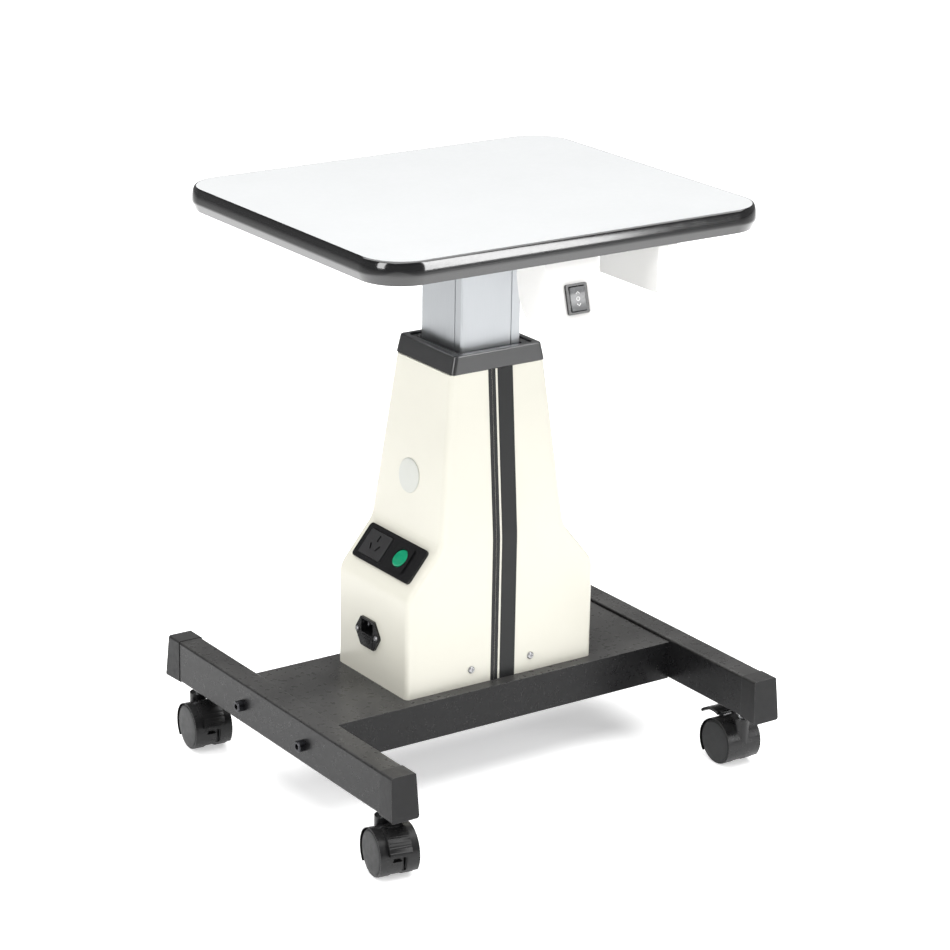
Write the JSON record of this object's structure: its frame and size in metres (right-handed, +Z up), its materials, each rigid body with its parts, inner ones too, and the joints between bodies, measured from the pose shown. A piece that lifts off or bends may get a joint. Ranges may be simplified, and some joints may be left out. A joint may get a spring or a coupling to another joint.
{
  "type": "slit lamp table",
  "caption": "Motorised lifting table for a slit lamp: white top on an aluminium column in a tapered cover, on an H-shaped foot with braked twin-wheel casters.",
  "frame": {"origin": "floor level, centre of the foot", "axes": "+X right, +Y back, away from the side with the lift switch, +Z up"},
  "size_m": [0.5534, 0.5129, 0.669],
  "materials": {
    "black_bolt": "black oxide",
    "black_coat": "satin powder coat",
    "board_green": "matte",
    "board_laminate": "white laminate on board",
    "bracket_paint": "white powder coat",
    "bright_screw": "bright",
    "cap_plastic": "matte",
    "collar_plastic": "satin",
    "column_aluminium": "satin anodised",
    "cover_paint": "smooth satin paint",
    "edge_band": "gloss",
    "glide_plastic": "matte",
    "guide_steel": "primed",
    "hood_plastic": "satin",
    "motor_casing": "satin",
    "nut_bronze": "machined",
    "panel_plastic": "semi-gloss",
    "plug_plastic": "matte",
    "rocker_green": "translucent gloss",
    "rocker_grey": "gloss",
    "screw_steel": "ground",
    "stripe_black": "satin film",
    "switch_black": "matte",
    "transformer_core": "varnished",
    "wheel_grey": "matte",
    "zinc_steel": "zinc plated"
  },
  "bodies": {
    "foot": {"base_plate": "black_coat", "leg_left": "black_coat", "leg_right": "black_coat", "leg_end_caps": "cap_plastic", "leg_bolts": "black_bolt", "frame_nuts": "zinc_steel", "caster_stems": "zinc_steel", "outer_tube": "guide_steel", "column_bolts": "zinc_steel", "upper_glides": "glide_plastic", "thrust_bearing": "screw_steel", "gearmotor": "motor_casing", "transformer": "transformer_core", "control_board": "board_green", "limit_switches": "switch_black", "cover_shell": "cover_paint", "cover_collar": "collar_plastic", "front_stripe": "stripe_black", "cover_screws": "bright_screw", "hole_plug": "plug_plastic", "socket_panel": "panel_plastic", "mains_outlet": "panel_plastic", "power_bezel": "panel_plastic", "inlet_body": "panel_plastic", "inlet_pins": "bright_screw"},
    "table": {"inner_column": "column_aluminium", "lower_glides": "glide_plastic", "nut_plate": "zinc_steel", "screw_nut": "nut_bronze", "table_board": "board_laminate", "table_edge": "edge_band", "top_plate": "black_coat", "table_screws": "bright_screw", "switch_bracket": "bracket_paint", "side_bracket": "bracket_paint", "lift_bezel": "panel_plastic"},
    "screw": {"lead_screw": "screw_steel"},
    "power_switch": {"power_rocker": "rocker_green"},
    "fuse_drawer": {"fuse_drawer": "panel_plastic"},
    "lift_switch": {"lift_rocker": "rocker_grey"},
    "caster_fl": {"hood_fl": "hood_plastic", "axle_fl": "screw_steel"},
    "outer_wheel_fl": {"outer_wheel_fl": "wheel_grey"},
    "inner_wheel_fl": {"inner_wheel_fl": "wheel_grey"},
    "brake_fl": {"brake_fl": "hood_plastic"},
    "caster_fr": {"hood_fr": "hood_plastic", "axle_fr": "screw_steel"},
    "outer_wheel_fr": {"outer_wheel_fr": "wheel_grey"},
    "inner_wheel_fr": {"inner_wheel_fr": "wheel_grey"},
    "brake_fr": {"brake_fr": "hood_plastic"},
    "caster_rl": {"hood_rl": "hood_plastic", "axle_rl": "screw_steel"},
    "outer_wheel_rl": {"outer_wheel_rl": "wheel_grey"},
    "inner_wheel_rl": {"inner_wheel_rl": "wheel_grey"},
    "brake_rl": {"brake_rl": "hood_plastic"},
    "caster_rr": {"hood_rr": "hood_plastic", "axle_rr": "screw_steel"},
    "outer_wheel_rr": {"outer_wheel_rr": "wheel_grey"},
    "inner_wheel_rr": {"inner_wheel_rr": "wheel_grey"},
    "brake_rr": {"brake_rr": "hood_plastic"}
  },
  "joints": [
    {"name": "table_lift", "type": "slide", "parent": "foot", "child": "table", "axis": [0, 0, 1], "range_m": [-0.06, 0.14]},
    {"name": "screw_turn", "type": "hinge", "parent": "foot", "child": "screw", "pos_m": [0, 0.008, 0.2], "axis": [0, 0, 1], "continuous": true},
    {"name": "power_rocker_tilt", "type": "hinge", "parent": "foot", "child": "power_switch", "pos_m": [-0.10574, -0.016, 0.26645], "axis": [0, 1, 0], "range_deg": [-14, 0]},
    {"name": "fuse_drawer_slide", "type": "slide", "parent": "foot", "child": "fuse_drawer", "axis": [-1, 0, 0], "range_m": [0, 0.014]},
    {"name": "lift_rocker_tilt", "type": "hinge", "parent": "table", "child": "lift_switch", "pos_m": [-0.015, -0.20922, 0.60253], "axis": [1, 0, 0], "range_deg": [-7, 7], "stiffness_Nm_per_rad": 0.4},
    {"name": "swivel_fl", "type": "hinge", "parent": "foot", "child": "caster_fl", "pos_m": [-0.247, -0.2, 0.05], "axis": [0, 0, 1], "continuous": true},
    {"name": "outer_wheel_spin_fl", "type": "hinge", "parent": "caster_fl", "child": "outer_wheel_fl", "pos_m": [-0.24997, -0.21877, 0.027], "axis": [0.9877, -0.1564, 0], "continuous": true},
    {"name": "inner_wheel_spin_fl", "type": "hinge", "parent": "caster_fl", "child": "inner_wheel_fl", "pos_m": [-0.24997, -0.21877, 0.027], "axis": [0.9877, -0.1564, 0], "continuous": true},
    {"name": "brake_pedal_fl", "type": "hinge", "parent": "caster_fl", "child": "brake_fl", "pos_m": [-0.25117, -0.22632, 0.05766], "axis": [0.9877, -0.1564, 0], "range_deg": [-34, 0]},
    {"name": "swivel_fr", "type": "hinge", "parent": "foot", "child": "caster_fr", "pos_m": [0.247, -0.2, 0.05], "axis": [0, 0, 1], "continuous": true},
    {"name": "outer_wheel_spin_fr", "type": "hinge", "parent": "caster_fr", "child": "outer_wheel_fr", "pos_m": [0.24733, -0.181, 0.027], "axis": [-0.9998, 0.0175, 0], "continuous": true},
    {"name": "inner_wheel_spin_fr", "type": "hinge", "parent": "caster_fr", "child": "inner_wheel_fr", "pos_m": [0.24733, -0.181, 0.027], "axis": [-0.9998, 0.0175, 0], "continuous": true},
    {"name": "brake_pedal_fr", "type": "hinge", "parent": "caster_fr", "child": "brake_fr", "pos_m": [0.24746, -0.17336, 0.05766], "axis": [-0.9998, 0.0175, 0], "range_deg": [0, 34]},
    {"name": "swivel_rl", "type": "hinge", "parent": "foot", "child": "caster_rl", "pos_m": [-0.247, 0.2, 0.05], "axis": [0, 0, 1], "continuous": true},
    {"name": "outer_wheel_spin_rl", "type": "hinge", "parent": "caster_rl", "child": "outer_wheel_rl", "pos_m": [-0.24899, 0.1811, 0.027], "axis": [0.9945, -0.1045, 0], "continuous": true},
    {"name": "inner_wheel_spin_rl", "type": "hinge", "parent": "caster_rl", "child": "inner_wheel_rl", "pos_m": [-0.24899, 0.1811, 0.027], "axis": [0.9945, -0.1045, 0], "continuous": true},
    {"name": "brake_pedal_rl", "type": "hinge", "parent": "caster_rl", "child": "brake_rl", "pos_m": [-0.24979, 0.1735, 0.05766], "axis": [0.9945, -0.1045, 0], "range_deg": [-34, 0]},
    {"name": "swivel_rr", "type": "hinge", "parent": "foot", "child": "caster_rr", "pos_m": [0.247, 0.2, 0.05], "axis": [0, 0, 1], "continuous": true},
    {"name": "outer_wheel_spin_rr", "type": "hinge", "parent": "caster_rr", "child": "outer_wheel_rr", "pos_m": [0.24964, 0.21882, 0.027], "axis": [-0.9903, 0.1392, 0], "continuous": true},
    {"name": "inner_wheel_spin_rr", "type": "hinge", "parent": "caster_rr", "child": "inner_wheel_rr", "pos_m": [0.24964, 0.21882, 0.027], "axis": [-0.9903, 0.1392, 0], "continuous": true},
    {"name": "brake_pedal_rr", "type": "hinge", "parent": "caster_rr", "child": "brake_rr", "pos_m": [0.25071, 0.22639, 0.05766], "axis": [-0.9903, 0.1392, 0], "range_deg": [0, 34]}
  ],
  "couplings": [
    {"joint": "screw_turn", "follows": "table_lift", "rad_per_m": -392.7}
  ]
}
